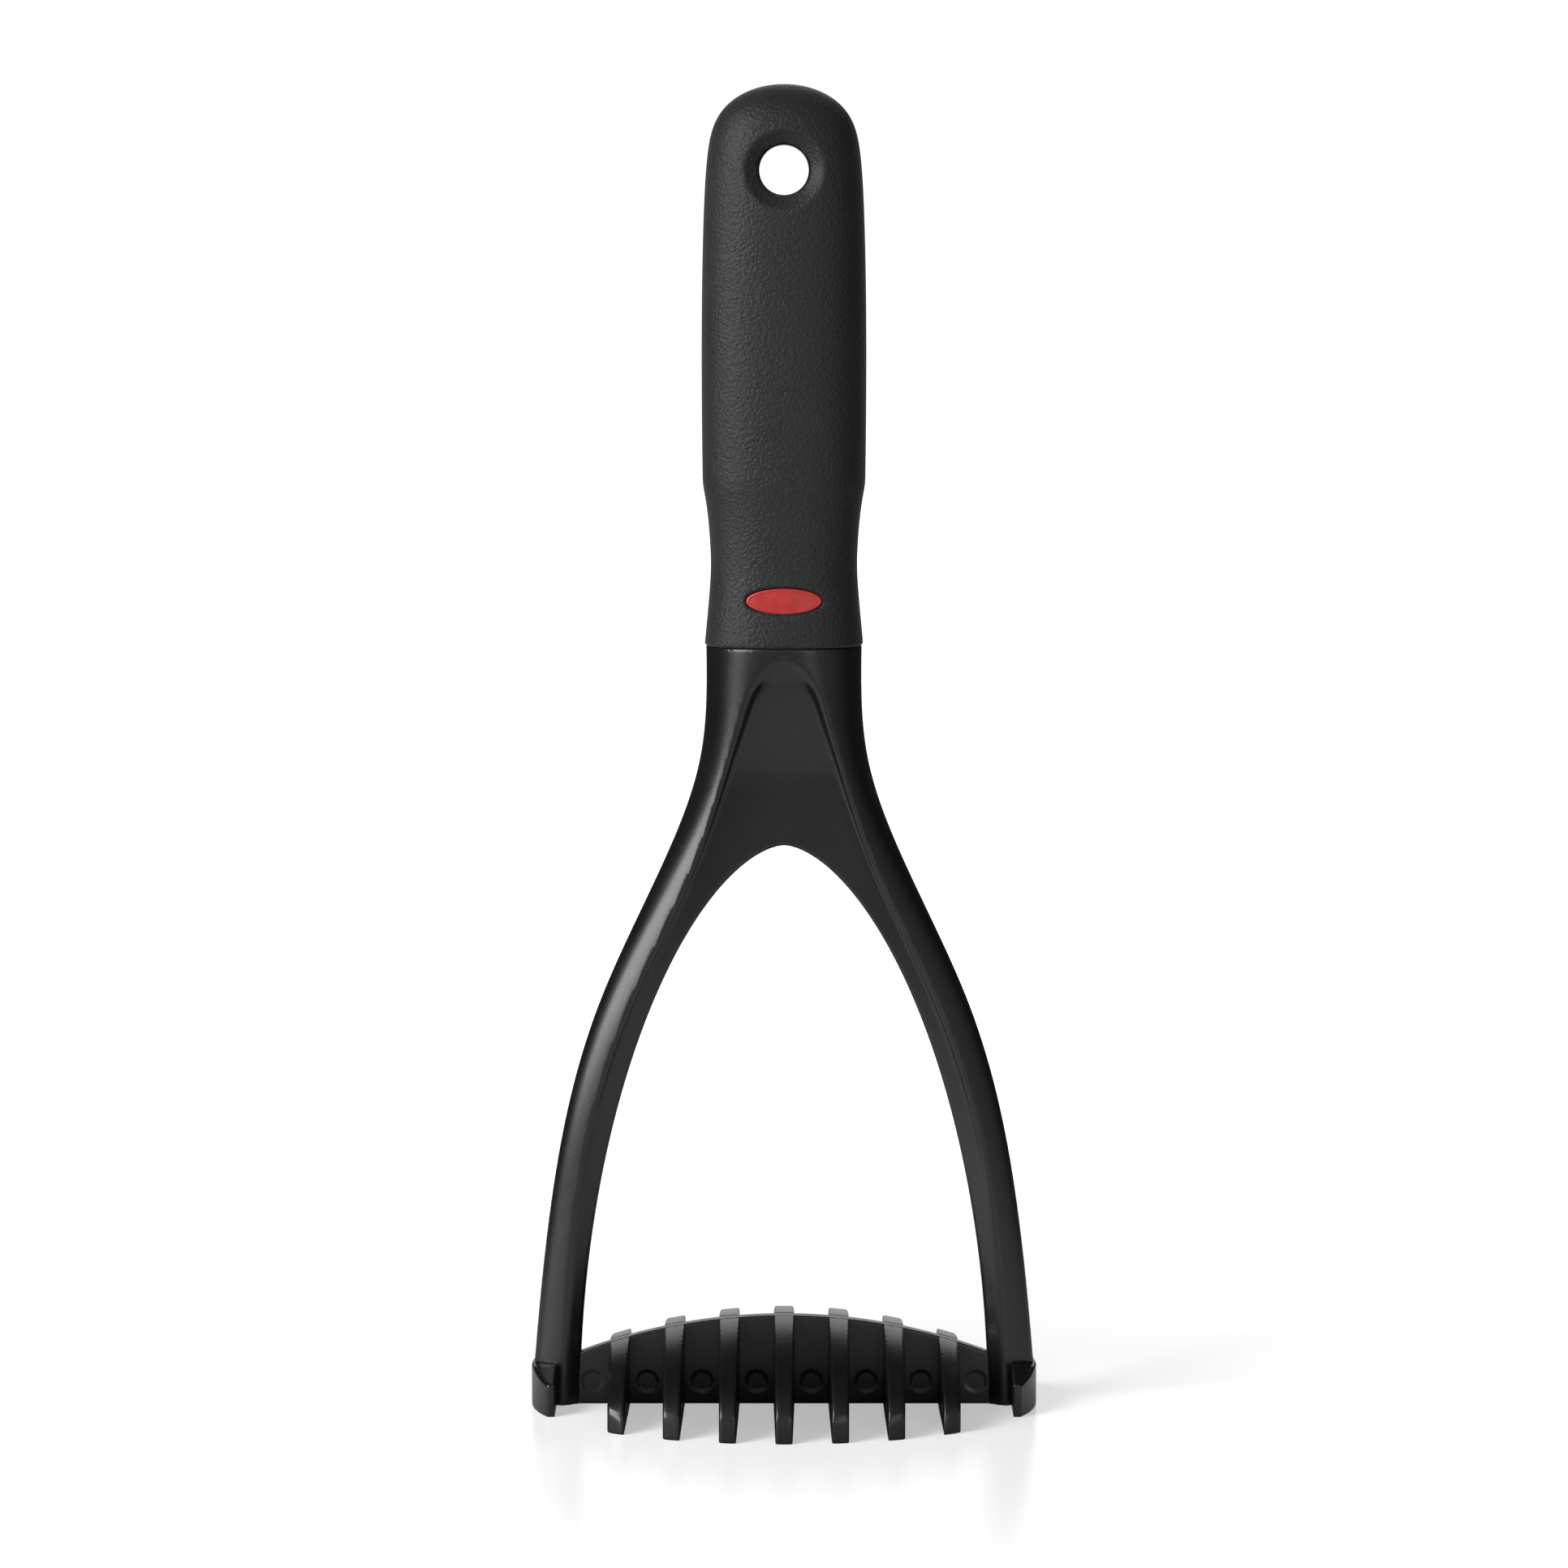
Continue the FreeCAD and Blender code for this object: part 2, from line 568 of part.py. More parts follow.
def fork():
    """Neck, crotch plate, both legs and the tang that the handle core is fixed to."""
    width = height_curve("width")
    crease = height_curve("crease")
    depth = height_curve("depth")
    body = fork_outside(width, crease, depth)
    for sign in SIDES.values():
        body = body.cut(recess_tool(crease, sign))
    for sign in (-1, 1):
        body = body.fuse(flange_wedge(crease, sign))
    body = body.cut(opening_tool())
    reach = size("head_half_width")
    inner = size("shoe_inner_face")
    top = size("shoe_top_height")
    for start in (-inner - reach, inner):
        body = body.cut(Part.makeBox(reach, 2 * reach, top, Vector(start, -reach, 0)))

    def middle(edge):
        return edge.valueAt((edge.FirstParameter + edge.LastParameter) / 2)

    def along_rail(edge):
        place = middle(edge)
        beside_crease = abs(place.x) < crease.value(place.z).x + 2 * size("rail_edge_radius")
        return edge.Length > size("crotch_height") and beside_crease

    rails = [edge for edge in body.Edges if along_rail(edge)]
    body = body.makeFillet(size("rail_edge_radius"), rails)
    neck = size("seam_height")
    rim = [edge for edge in body.Edges if edge.BoundBox.ZMin > neck - size("neck_edge_radius")]
    body = body.makeFillet(size("neck_edge_radius"), rim)
    half_width = size("tang_half_width")
    half_depth = size("tang_half_depth")
    corner = Vector(-half_width, -half_depth, neck)
    tang = Part.makeBox(2 * half_width, 2 * half_depth, size("tang_length"), corner)
    return feature("fork", body.fuse(tang).removeSplitter())


# ---- handle ----

def oval_wire(height, half_width, half_depth):
    """Level ellipse of two edges, which meet at the left and right."""
    centre = Vector(0, 0, height)
    ellipse = Part.Ellipse(centre + ACROSS * half_width, centre + BACKWARD * half_depth, centre)
    halves = [Part.ArcOfEllipse(ellipse, 0, math.pi), Part.ArcOfEllipse(ellipse, math.pi, 2 * math.pi)]
    return Part.Wire([half.toShape() for half in halves])


def barrel_wires(inset, depth_ratio):
    """Sections from the kink up to the dome's top, at even steps of the square root of the drop below it."""
    top = size("grip_top_height") - inset
    half_width = size("grip_half_width") - inset
    share = measure_curve([(math.sqrt(drop), part) for drop, part in BARREL_SHARES])
    lowest = math.sqrt(top - size("kink_height"))
    highest = math.sqrt(DOME_CAP)
    wires = []
    for step in range(BARREL_STEPS + 1):
        root = lowest + (highest - lowest) * step / BARREL_STEPS
        reach = share.value(root).x * half_width
        wires.append(oval_wire(top - root ** 2, reach, reach * depth_ratio))
    return wires


def waist_wires(inset, depth_ratio):
    """Sections from the grip's lip up to just under the kink."""
    narrowest = size("waist_height")
    widening = measure_curve(WAIST_WIDENINGS)
    lip = size("grip_foot_height")
    rise = size("kink_height") - lip
    wires = []
    for step in range(WAIST_STEPS):
        height = lip + rise * step / WAIST_STEPS
        reach = size("waist_half_width") - inset + widening.value(height - narrowest).x
        wires.append(oval_wire(height, reach, reach * depth_ratio))
    return wires


def grip_outline(inset, depth_ratio):
    """Solid inside the grip's outline, the given distance in from it, with oval sections."""
    barrel = barrel_wires(inset, depth_ratio)
    waist = waist_wires(inset, depth_ratio) + [barrel[0]]
    return Part.makeLoft(barrel, True, False).fuse(Part.makeLoft(waist, True, False))


def facing_cylinder(label, radius, start, length):
    """Cylinder along Y at the hang hole; start and length are expressions along Y."""
    tool = doc.addObject("Part::Cylinder", label)
    tool.setExpression("Radius", radius)
    tool.setExpression("Height", length)
    tool.Placement = FreeCAD.Placement(ORIGIN, FreeCAD.Rotation(ACROSS, -90))
    tool.setExpression("Placement.Base.y", start)
    tool.setExpression("Placement.Base.z", "dims.hole_height")
    return tool


def mouth_cone(label, sign):
    """Flared mouth of the hang hole on one face, from the eyelet out past the surface."""
    tool = doc.addObject("Part::Cone", label)
    tool.setExpression("Radius1", "dims.throat_radius")
    tool.setExpression("Radius2", "2 * dims.countersink_radius - dims.throat_radius")
    tool.setExpression("Height", "2 * (dims.grip_half_width * dims.grip_depth_ratio - dims.hole_half_length)")
    tool.Placement = FreeCAD.Placement(ORIGIN, FreeCAD.Rotation(ACROSS, -90 * sign))
    tool.setExpression("Placement.Base.y", f"{sign} * dims.hole_half_length")
    tool.setExpression("Placement.Base.z", "dims.hole_height")
    return tool


def joined(label, shapes):
    union = doc.addObject("Part::MultiFuse", label)
    union.Shapes = shapes
    return union


def cut(label, base, tool):
    result = doc.addObject("Part::Cut", label)
    result.Base = base
    result.Tool = tool
    result.Label = label
    return result


def oval_prism(growth):
    """Upright oval column through the badge's place, from its floor out past the grip's front."""
    centre = Vector(0, -size("badge_floor"), size("badge_height"))
    along = Vector(size("badge_half_width") + growth, 0, 0)
    up = Vector(0, 0, size("badge_half_height") + growth)
    oval = Part.Ellipse(centre + along, centre + up, centre)
    return Part.Face(Part.Wire(oval.toShape())).extrude(-BACKWARD * size("badge_floor"))


def handle():
    """Rigid core with its eyelet, soft grip around it, and the oval badge let into the grip's front."""
    core_blank = feature("core_blank", grip_outline(size("core_inset"), size("core_depth_ratio")))
    grip_blank = feature("grip_blank", grip_outline(0, size("grip_depth_ratio")))
    reach = "dims.grip_half_width"
    bore = facing_cylinder("hang_bore", "dims.hole_radius", f"-{reach}", f"2 * {reach}")
    mouths = [mouth_cone(f"{side}_mouth", sign) for side, sign in SIDES.items()]
    pocket = doc.addObject("Part::Box", "tang_pocket")
    pocket.setExpression("Length", "2 * (dims.tang_half_width + dims.tang_clearance)")
    pocket.setExpression("Width", "2 * (dims.tang_half_depth + dims.tang_clearance)")
    pocket.setExpression("Height", "dims.tang_length + dims.tang_clearance")
    pocket.setExpression("Placement.Base.x", "-dims.tang_half_width - dims.tang_clearance")
    pocket.setExpression("Placement.Base.y", "-dims.tang_half_depth - dims.tang_clearance")
    pocket.setExpression("Placement.Base.z", "dims.seam_height")
    core = cut("handle_core", core_blank, joined("core_cuts", [bore, pocket] + mouths))
    badge_pocket = feature("badge_pocket", oval_prism(size("badge_gap")))
    grip_cuts = joined("grip_cuts", [core_blank, bore, badge_pocket] + mouths)
    sleeve = cut("grip_sleeve", grip_blank, grip_cuts)
    badge_blank = feature("badge_blank", oval_prism(0))
    badge = doc.addObject("Part::Common", "badge_insert")
    badge.Base = grip_blank
    badge.Tool = badge_blank
    return [core, sleeve, badge]


# ---- the masher ----

def build():
    """Make every sub-part and return the objects to be written out."""
    parts = [fork(), head_spine()]
    for side in SIDES:
        parts += [head_fin(side, number) for number in range(1, FIN_COUNT + 1)]
    parts += [end_shoe("end_shoe_left", -1), end_shoe("end_shoe_right", 1)]
    parts += handle()
    return parts


def check(parts):
    """Stop on any failed object and on any empty or invalid sub-part."""
    doc.recompute()
    for item in doc.Objects:
        if "Invalid" in item.State or "Error" in item.State:
            raise RuntimeError(f"{item.Name} failed: {item.State}")
    for item in parts:
        if item.Shape.isNull() or not item.Shape.isValid():
            raise RuntimeError(f"{item.Label} has no valid shape")
        if len(item.Shape.Solids) != 1:
            raise RuntimeError(f"{item.Label} has {len(item.Shape.Solids)} solids")


def export(parts):
    os.makedirs("parts", exist_ok=True)
    for item in parts:
        item.Shape.exportStep(f"parts/{item.Label}.step")
        print(f"{item.Label}: {item.Shape.Volume:.0f} mm3")


masher_parts = build()
check(masher_parts)
export(masher_parts)
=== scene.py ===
"""Looks of the potato masher: nylon head and forked neck, smooth eyelet, soft grip and red badge.

Each new piece is the zero surface of a field, a function of position in millimetres that is negative inside
the piece and near to the true distance at its surface, so its edges and hollows get real round radii.
"""
import math

import bpy
import numpy as np
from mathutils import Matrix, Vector


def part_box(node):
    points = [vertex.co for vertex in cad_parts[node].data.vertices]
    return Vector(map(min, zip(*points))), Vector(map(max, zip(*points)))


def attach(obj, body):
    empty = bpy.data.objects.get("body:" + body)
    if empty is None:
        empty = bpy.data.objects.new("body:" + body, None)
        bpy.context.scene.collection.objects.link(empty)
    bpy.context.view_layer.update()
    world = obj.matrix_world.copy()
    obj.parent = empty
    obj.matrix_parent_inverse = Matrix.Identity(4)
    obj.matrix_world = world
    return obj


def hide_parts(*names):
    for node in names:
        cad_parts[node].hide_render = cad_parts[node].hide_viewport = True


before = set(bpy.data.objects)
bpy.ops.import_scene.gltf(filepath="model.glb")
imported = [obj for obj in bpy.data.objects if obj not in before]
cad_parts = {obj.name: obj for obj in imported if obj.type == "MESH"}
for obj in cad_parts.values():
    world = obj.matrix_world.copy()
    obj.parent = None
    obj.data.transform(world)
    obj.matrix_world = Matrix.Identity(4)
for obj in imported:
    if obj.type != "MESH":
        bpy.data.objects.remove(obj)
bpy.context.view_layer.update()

MM = 0.001


def node_box(node):
    """Lowest and highest corner of a CAD node in millimetres."""
    low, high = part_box(node)
    return np.array(low) / MM, np.array(high) / MM


# ---- sizes in millimetres ----

# Spine: the arched plate across the head, with round ejector marks on its front.
SPINE_HALF = node_box("head_spine")[1][1]
SPINE_RISE = node_box("head_spine")[1][2]
SPINE_FOOT = node_box("head_spine")[1][0]
SPINE_END_LEAN = 0.9
SPINE_SHOULDER_HEIGHT = 10.96
ARCH_RADIUS = 120.0
MARK_RADIUS = 2.15
MARK_DEPTH = 0.15
MARK_HEIGHT = 4.8
ARCH_EDGE = 0.35
MARK_FLOOR_EDGE = 0.05
MARK_RIM_EDGE = 0.1

# Fins, from the spine to the head's oval rim.
RIM_HALF_WIDTH = node_box("end_shoe_right")[1][0]
RIM_HALF_DEPTH = 37.3
SIDES = {"front": -1.0, "back": 1.0}
FIN_COUNT = 7
FIN_PITCH = 11.43
FIN_ROOT = 4.4
FIN_TIP = 3.5
FIN_RIDGE = 5.2
FIN_TOP_EDGE = 0.5
FIN_TIP_EDGE = 0.5

# Shoes: the crescent feet under the legs.
SHOE_INNER = node_box("end_shoe_right")[0][0]
SHOE_HALF_DEPTH = node_box("end_shoe_right")[1][1]
SHOE_TOP = node_box("end_shoe_right")[1][2]
SHOE_RIM = 6.8
SHOE_TOP_EDGE = 0.6
SHOE_END_EDGE = 0.3
SHOE_INNER_EDGE = 0.25

# Fork: the neck up to the grip's seam, the opening between the legs and the recess between the rails.
SEAM = 159.0
NECK_LIFT = 0.15
CROTCH = 117.5
OPENING_HALF_WIDTH = 42.6
OPENING_POWERS = (1.685, 1.923)
WEB_HALF = 1.5
FLANGE_FOOT_HALF = 4.8
FLANGE_TOP = 109.2
RAMP_FOOT = 126.0
RAMP_TOP = 155.2
CREASE_BEND = 147.0
CREASE_TOP = 156.4
NECK_FOOT = 112.0
RAIL_CREST_SHARE = 0.55
RAIL_EDGE = 0.9
RAIL_EDGE_GROWTH = 1.4
RECESS_ROOT = 0.8
RECESS_ROOT_GROWTH = 0.9
LEAST_FLANGE = 0.5
OPENING_EDGE = 0.5
NECK_TOP_EDGE = 0.3
TANG_TOP = node_box("fork")[1][2]
TANG_HALF_WIDTH = 8.0
TANG_HALF_DEPTH = 5.0

# Grip and the rigid core inside it; an oval of power 2 is an ellipse, and a higher power squares it.
GRIP_LIP = node_box("grip_sleeve")[0][2]
GRIP_TOP = node_box("grip_sleeve")[1][2]
GRIP_HALF_WIDTH = 16.85
GRIP_DEPTH_RATIO = 0.735
GRIP_OVAL_POWER = 2.4
CORE_INSET = 3.3
CORE_DEPTH_RATIO = 0.68
CORE_OVAL_POWER = 2.0
WAIST_HEIGHT = 175.5
WAIST_HALF_WIDTH = 15.05
KINK_EDGE = 0.25
LIP_EDGE = 0.12

# Hang hole.
HOLE_HEIGHT = 256.0
THROAT_RADIUS = 5.4
MOUTH_RADIUS = 8.1
FUNNEL_DEPTH = 2.2
MOUTH_EDGE = 0.2

# Badge, in its pocket in the grip.
BADGE_HEIGHT = 168.8
BADGE_HALF_WIDTH = node_box("badge_insert")[1][0]
BADGE_HALF_HEIGHT = 2.6
BADGE_FLOOR = 9.0
BADGE_GAP = 0.2
POCKET_EDGE = 0.3
BADGE_EDGE = 0.25
BADGE_RIM_WIDTH = 0.55
BADGE_RIM_HEIGHT = 0.14
BADGE_RIM_EDGE = 0.08
BADGE_RIM_ROOT = 0.1

# Pieces of one moulding reach this far into each other, so that no light shows between them.
OVERLAP = 0.2
# Rounding where the broad and the narrow pieces of the head meet the table.
BROAD_FOOT_EDGE = 0.2
NARROW_FOOT_EDGE = 0.25

# Grid cells of the pieces' meshes.
FORK_CELL = 0.5
SPINE_CELL = 0.3
FIN_CELL = 0.4
SHOE_CELL = 0.3
SLEEVE_CELL = 0.5
BADGE_CELL = 0.18

# Up the fork: height, half width, distance of the rail's inner crease, half depth.
FORK_STATIONS = np.array([
    (0.0, 52.86, 47.6, 5.3),
    (45.0, 48.17, 42.6, 5.9),
    (85.0, 38.12, 31.1, 6.9),
    (115.0, 24.5, 17.6, 8.3),
    (135.0, 17.46, 10.9, 9.8),
    (147.0, 16.08, 7.1, 10.8),
    (159.0, 16.02, 3.3, 11.8),
])
# Down the dome and barrel: drop below the top, and share of the barrel's half width.
BARREL_SHARES = np.array([
    (0.0, 0.0),
    (2.1, 0.515),
    (7.3, 0.82),
    (15.9, 0.935),
    (30.4, 0.98),
    (58.0, 1.0),
    (81.1, 0.992),
])
# Up the waist: height above its narrowest place, and how much wider its half width is there.
WAIST_WIDENINGS = np.array([
    (-16.3, 1.28),
    (-6.7, 0.38),
    (0.0, 0.0),
    (5.3, 0.19),
    (12.6, 0.93),
    (16.8, 1.67),
])

# The least values that a field divides by.
TINY = 1e-6
LEAST_SLOPE = 1e-3


# ---- field helpers ----

def smooth_curve(knots, values):
    """Natural cubic spline through the values at the knots, straight beyond its ends."""
    gaps = np.diff(knots)
    slopes = np.diff(values) / gaps
    count = len(knots)
    system = np.eye(count)
    target = np.zeros(count)
    for index in range(1, count - 1):
        before, after = gaps[index - 1], gaps[index]
        system[index, index - 1:index + 2] = before, 2 * (before + after), after
        target[index] = 6 * (slopes[index] - slopes[index - 1])
    bends = np.linalg.solve(system, target)
    first_slope = slopes[0] - gaps[0] * bends[1] / 6
    last_slope = slopes[-1] + gaps[-1] * bends[-2] / 6

    def curve(place):
        inside = np.clip(place, knots[0], knots[-1])
        span = np.clip(np.searchsorted(knots, inside) - 1, 0, count - 2)
        gap = gaps[span]
        ahead = knots[span + 1] - inside
        behind = inside - knots[span]
        bend = (bends[span] * ahead ** 3 + bends[span + 1] * behind ** 3) / (6 * gap)
        start = (values[span] / gap - bends[span] * gap / 6) * ahead
        end = (values[span + 1] / gap - bends[span + 1] * gap / 6) * behind
        below = np.minimum(place - knots[0], 0.0) * first_slope
        above = np.maximum(place - knots[-1], 0.0) * last_slope
        return bend + start + end + below + above

    return curve


def both(first, second, radius):
    """Intersection of two fields, its outer edge rounded."""
    over_first = np.maximum(first + radius, 0.0)
    over_second = np.maximum(second + radius, 0.0)
    return np.minimum(np.maximum(first, second), -radius) + np.hypot(over_first, over_second)


def without(solid, hollow, radius):
    """A solid less a hollow, its new edge rounded."""
    return both(solid, -hollow, radius)


def oval(across, along, half_across, half_along):
    """Near distance to an ellipse."""
    ring = np.hypot(across / half_across, along / half_along)
    slope = np.hypot(across / half_across ** 2, along / half_along ** 2)
    return (ring - 1.0) * ring / np.maximum(slope, TINY)


# ---- polygoniser ----

def sample(field, axes):
    """Field values on a grid, worked out some levels at a time to save memory."""
    across, along, up = axes
    values = np.empty((len(across), len(along), len(up)), np.float32)
    levels = 24
    for start in range(0, len(up), levels):
        block = np.meshgrid(across, along, up[start:start + levels], indexing="ij")
        values[:, :, start:start + levels] = field(*block)
    return values


def close_pinches(values):
    """Fill grid corners that would let two parts of the surface meet along one edge."""
    hair = 1e-4
    for first, second in ((0, 1), (0, 2), (1, 2)):
        corners = []
        for step_first, step_second in ((0, 0), (1, 0), (0, 1), (1, 1)):
            window = [slice(None)] * 3
            window[first] = slice(step_first, values.shape[first] - 1 + step_first)
            window[second] = slice(step_second, values.shape[second] - 1 + step_second)
            corners.append(values[tuple(window)])
        near, right, up, far = corners
        rising = (near < 0) & (far < 0) & (right >= 0) & (up >= 0)
        falling = (right < 0) & (up < 0) & (near >= 0) & (far >= 0)
        right[rising] = -hair
        near[falling] = -hair


def mean_crossings(values):
    """For each cell of the grid, how often the surface crosses its edges, and the sum of the crossings."""
    shape = np.array(values.shape) - 1
    total = np.zeros((*shape, 3), np.float32)
    count = np.zeros(shape, np.float32)
    for axis in range(3):
        one, other = [rest for rest in range(3) if rest != axis]
        for step_one in (0, 1):
            for step_other in (0, 1):
                begin = [slice(0, -1)] * 3
                begin[one] = slice(step_one, shape[one] + step_one)
                begin[other] = slice(step_other, shape[other] + step_other)
                end = list(begin)
                end[axis] = slice(1, None)
                low = values[tuple(begin)]
                high = values[tuple(end)]
                hit = (low < 0) != (high < 0)
                total[..., axis] += np.where(hit, low / np.where(hit, low - high, 1.0), 0.0)
                total[..., one] += hit * step_one
                total[..., other] += hit * step_other
                count += hit
    return total, count


def surface_net(values, axes, cell):
    """Vertices and quads of the zero surface of sampled values, one vertex to a crossed cell."""
    total, count = mean_crossings(values)
    used = count > 0
    number = np.full(used.shape, -1, np.int64)
    number[used] = np.arange(used.sum())
    corner = np.stack(np.nonzero(used), axis=1)
    origin = np.array([axis[0] for axis in axes])
    vertices = origin + cell * (corner + total[used] / count[used][:, None])
    quads = []
    for axis in range(3):
        one, other = (axis + 1) % 3, (axis + 2) % 3
        begin = [slice(1, -1)] * 3
        begin[axis] = slice(0, -1)
        end = list(begin)
        end[axis] = slice(1, None)
        low = values[tuple(begin)] < 0
        high = values[tuple(end)] < 0
        for outward, hit in ((1, low & ~high), (-1, ~low & high)):
            place = np.stack(np.nonzero(hit), axis=1)
            place[:, one] += 1
            place[:, other] += 1
            ring = []
            for back_one, back_other in ((1, 1), (0, 1), (0, 0), (1, 0)):
                around = place.copy()
                around[:, one] -= back_one
                around[:, other] -= back_other
                ring.append(number[tuple(around.T)])
            quads.append(np.stack(ring[::outward], axis=1))
    return vertices, np.concatenate(quads)


def settle(field, vertices):
    """Move vertices onto the field's zero surface."""
    rounds = 4
    step = 0.02
    least_steepness = 0.1
    longest_move = 0.3
    for _ in range(rounds):
        x, y, z = vertices.T
        slope = np.stack([
            field(x + step, y, z) - field(x - step, y, z),
            field(x, y + step, z) - field(x, y - step, z),
            field(x, y, z + step) - field(x, y, z - step),
        ], axis=1) / (2 * step)
        steepness = np.maximum((slope ** 2).sum(axis=1), least_steepness)
        move = np.clip(field(x, y, z) / steepness, -longest_move, longest_move)
        vertices = vertices - move[:, None] * slope
    return vertices


def moulded(name, field, low, high, cell):
    """A smooth closed mesh of a field inside a box, both in millimetres."""
    before = 2.5 * cell
    after = 3 * cell
    pinch_rounds = 3
    axes = [np.arange(low[axis] - before, high[axis] + after, cell) for axis in range(3)]
    values = sample(field, axes)
    for _ in range(pinch_rounds):
        close_pinches(values)
    vertices, quads = surface_net(values, axes, cell)
    vertices = settle(field, vertices)
    mesh = bpy.data.meshes.new(name)
    mesh.from_pydata((vertices * MM).tolist(), [], quads.tolist())
    mesh.validate()
    mesh.shade_smooth()
    piece = bpy.data.objects.new(name, mesh)
    bpy.context.scene.collection.objects.link(piece)
    return piece


def install(piece, node, material):
    """Let a piece stand for a CAD node, on the masher's one body."""
    piece.data.materials.append(material)
    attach(piece, "root")
    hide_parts(node)


# ---- fork ----

fork_heights, fork_half_widths, fork_creases, fork_half_depths = FORK_STATIONS.T
half_width_at = smooth_curve(fork_heights, fork_half_widths)
open_crease_at = smooth_curve(fork_heights, fork_creases)
half_depth_at = smooth_curve(fork_heights, fork_half_depths)


def crease_at(z):
    """Distance of the rail's inner crease; the two creases close in a round arch below the seam."""
    closing = np.clip((z - CREASE_BEND) / (CREASE_TOP - CREASE_BEND), 0.0, 1.0)
    return open_crease_at(z) * np.sqrt(1.0 - closing ** 2)


def opening_field(across, height):
    """Near distance to the outline of the opening between the legs."""
    wide, tall = OPENING_POWERS
    side = np.abs(across) / OPENING_HALF_WIDTH
    rise = np.maximum(height, 0.0) / CROTCH
    value = side ** wide + rise ** tall - 1.0
    slope_side = wide / OPENING_HALF_WIDTH * side ** (wide - 1)
    slope_rise = tall / CROTCH * rise ** (tall - 1)
    return value / np.maximum(np.hypot(slope_side, slope_rise), LEAST_SLOPE)


def opening_half_width(height):
    """Distance of the opening's edge from the middle at a height."""
    wide, tall = OPENING_POWERS
    rise = np.clip(height / CROTCH, 0.0, 1.0)
    return OPENING_HALF_WIDTH * (1.0 - rise ** tall) ** (1.0 / wide)


def up_the_neck(z):
    """0 at the neck's foot and 1 at the top of the recess, where its edges are softest."""
    return np.clip((z - NECK_FOOT) / (RAMP_TOP - NECK_FOOT), 0.0, 1.0)


def recess_field(side, face, z):
    """Hollow between the rails; its floor is the web, thicker along the legs, and ramps out to the neck."""
    crease = crease_at(z)
    rise = np.maximum((z - RAMP_FOOT) / (RAMP_TOP - RAMP_FOOT), 0.0)
    ramp = (half_depth_at(RAMP_TOP) - WEB_HALF) * rise ** 2
    inner = opening_half_width(z)
    toward_rail = np.clip((side - inner) / np.maximum(crease - inner, LEAST_FLANGE), 0.0, 1.0)
    thickening = (FLANGE_FOOT_HALF - WEB_HALF) * np.clip(1.0 - z / FLANGE_TOP, 0.0, 1.0)
    floor = WEB_HALF + ramp + thickening * toward_rail
    return both(side - crease, floor - face, RECESS_ROOT + RECESS_ROOT_GROWTH * up_the_neck(z))


def fork_field(x, y, z):
    """Neck, crotch plate, both legs and the tang inside the handle."""
    side = np.abs(x)
    face = np.abs(y)
    crest = RAIL_CREST_SHARE * open_crease_at(z)
    outside = oval(np.maximum(side - crest, 0.0), face, half_width_at(z) - crest, half_depth_at(z))
    rail_edge = RAIL_EDGE + RAIL_EDGE_GROWTH * up_the_neck(z) ** 2
    solid = without(outside, recess_field(side, face, z), rail_edge)
    solid = without(solid, opening_field(x, z), OPENING_EDGE)
    shoe_place = np.maximum(SHOE_INNER + OVERLAP - side, z - SHOE_TOP + OVERLAP)
    solid = np.maximum(solid, -shoe_place)
    solid = both(solid, -z, BROAD_FOOT_EDGE)
    solid = both(solid, z - SEAM - NECK_LIFT, NECK_TOP_EDGE)
    tang = np.maximum(np.maximum(side - TANG_HALF_WIDTH, face - TANG_HALF_DEPTH), z - TANG_TOP)
    return np.minimum(solid, np.maximum(tang, SEAM - OVERLAP - z))


# ---- head ----

def arch_at(across):
    """Height of the spine's arched top."""
    return SPINE_RISE - ARCH_RADIUS + np.sqrt(ARCH_RADIUS ** 2 - across ** 2)


def spine_field(x, y, z):
    """Arched plate with shallow round ejector marks on its front."""
    side = np.abs(x)
    arch = np.hypot(x, z + ARCH_RADIUS - SPINE_RISE) - ARCH_RADIUS
    end = SPINE_FOOT - SPINE_END_LEAN * z / SPINE_SHOULDER_HEIGHT + OVERLAP
    plate = both(np.abs(y) - SPINE_HALF, arch, ARCH_EDGE)
    plate = both(plate, -z, BROAD_FOOT_EDGE)
    plate = np.maximum(plate, side - end)
    number = np.clip(np.round(side / FIN_PITCH - 0.5), 0, FIN_COUNT // 2)
    centre = (number + 0.5) * FIN_PITCH
    mark = np.hypot(side - centre, z - MARK_HEIGHT) - MARK_RADIUS
    pressed = both(mark, y + SPINE_HALF - MARK_DEPTH, MARK_FLOOR_EDGE)
    return without(plate, pressed, MARK_RIM_EDGE)


def fin_field(sign, middle):
    """Field of a tapered fin whose crest falls as an ellipse from the spine to an upright tip on the rim."""
    rise = arch_at(middle)
    rim = RIM_HALF_DEPTH * math.sqrt(1 - (middle / RIM_HALF_WIDTH) ** 2)
    reach = rim / math.sqrt(1 - (FIN_RIDGE / SPINE_RISE) ** 2)
    lean = middle / math.sqrt(ARCH_RADIUS ** 2 - middle ** 2)

    def field(x, y, z):
        out = sign * y
        along = np.clip((out - SPINE_HALF) / (rim - SPINE_HALF), 0.0, 1.0)
        flank = np.abs(x - middle) - (FIN_ROOT + (FIN_TIP - FIN_ROOT) * along) / 2
        crest = oval(np.maximum(out, 0.0), np.maximum(z + lean * (x - middle), 0.0), reach, rise)
        fin = both(flank, crest, FIN_TOP_EDGE)
        fin = both(fin, oval(x, y, RIM_HALF_WIDTH, RIM_HALF_DEPTH), FIN_TIP_EDGE)
        fin = both(fin, -z, NARROW_FOOT_EDGE)
        return np.maximum(fin, SPINE_HALF - OVERLAP - out)

    return field


